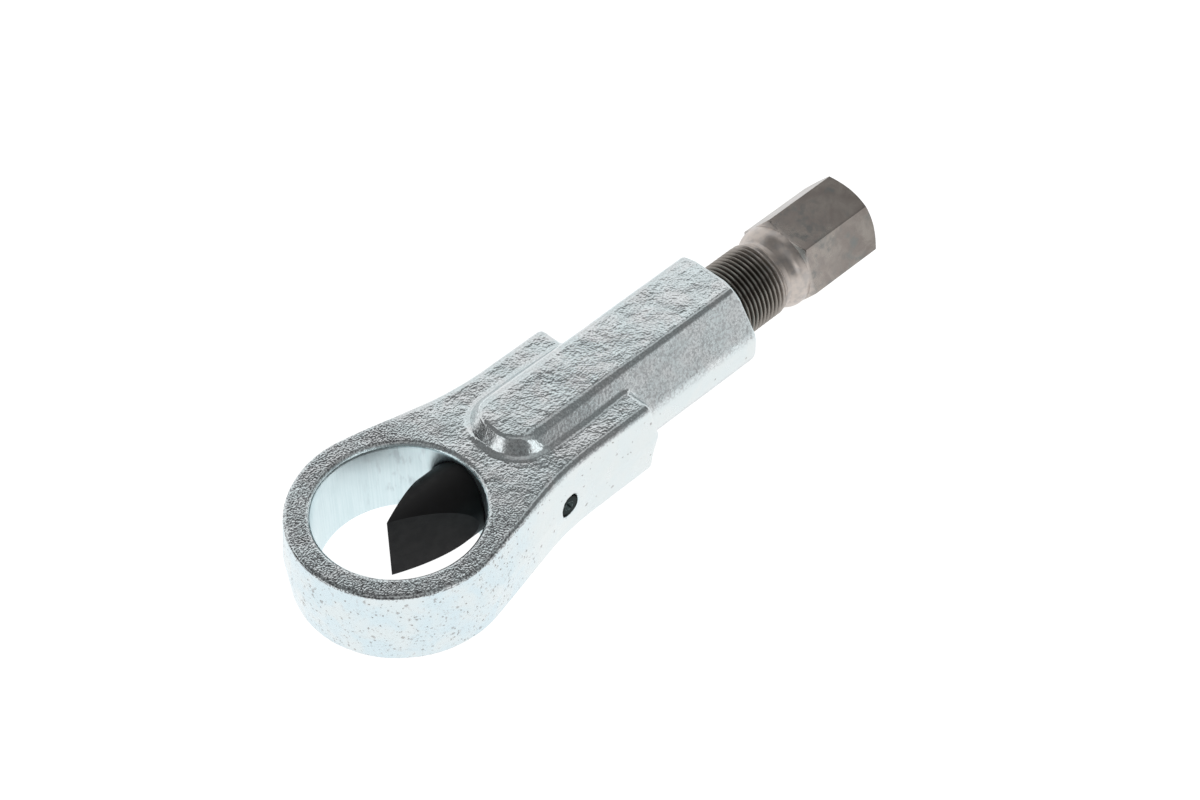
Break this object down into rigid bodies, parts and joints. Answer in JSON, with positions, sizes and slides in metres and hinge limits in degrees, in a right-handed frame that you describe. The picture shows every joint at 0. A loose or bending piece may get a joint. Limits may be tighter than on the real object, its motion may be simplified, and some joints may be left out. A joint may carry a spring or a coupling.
{
  "type": "nut splitter",
  "caption": "Ring-type nut splitter: a forged ring holds a seized nut while a turned spindle drives a guided chisel into it.",
  "frame": {"origin": "centre of the nut hole, at half the ring's thickness", "axes": "+X along the barrel towards the spindle's head, +Z along the ring's axis"},
  "size_m": [0.1958, 0.0596, 0.033],
  "materials": {
    "forged_steel": "forged, blasted and zinc plated",
    "black_steel": "hardened and blackened, matt",
    "turned_steel": "turned and heat treated, satin brown-grey",
    "screw_steel": "black oxide",
    "bright_steel": "bright"
  },
  "bodies": {
    "frame": {"body": "forged_steel", "guide_screw": "screw_steel"},
    "chisel": {"chisel": "black_steel", "thrust_ball": "bright_steel", "retaining_ring": "bright_steel"},
    "spindle": {"spindle": "turned_steel"}
  },
  "joints": [
    {"name": "chisel_slide", "type": "slide", "parent": "frame", "child": "chisel", "axis": [-1, 0, 0], "range_m": [-0.016, 0.017]},
    {"name": "spindle_turn", "type": "hinge", "parent": "chisel", "child": "spindle", "pos_m": [0.12, 0, 0], "axis": [-1, 0, 0], "range_deg": [-3841, 4081]}
  ],
  "couplings": [
    {"joint": "spindle_turn", "follows": "chisel_slide", "rad_per_m": 4188.8}
  ]
}
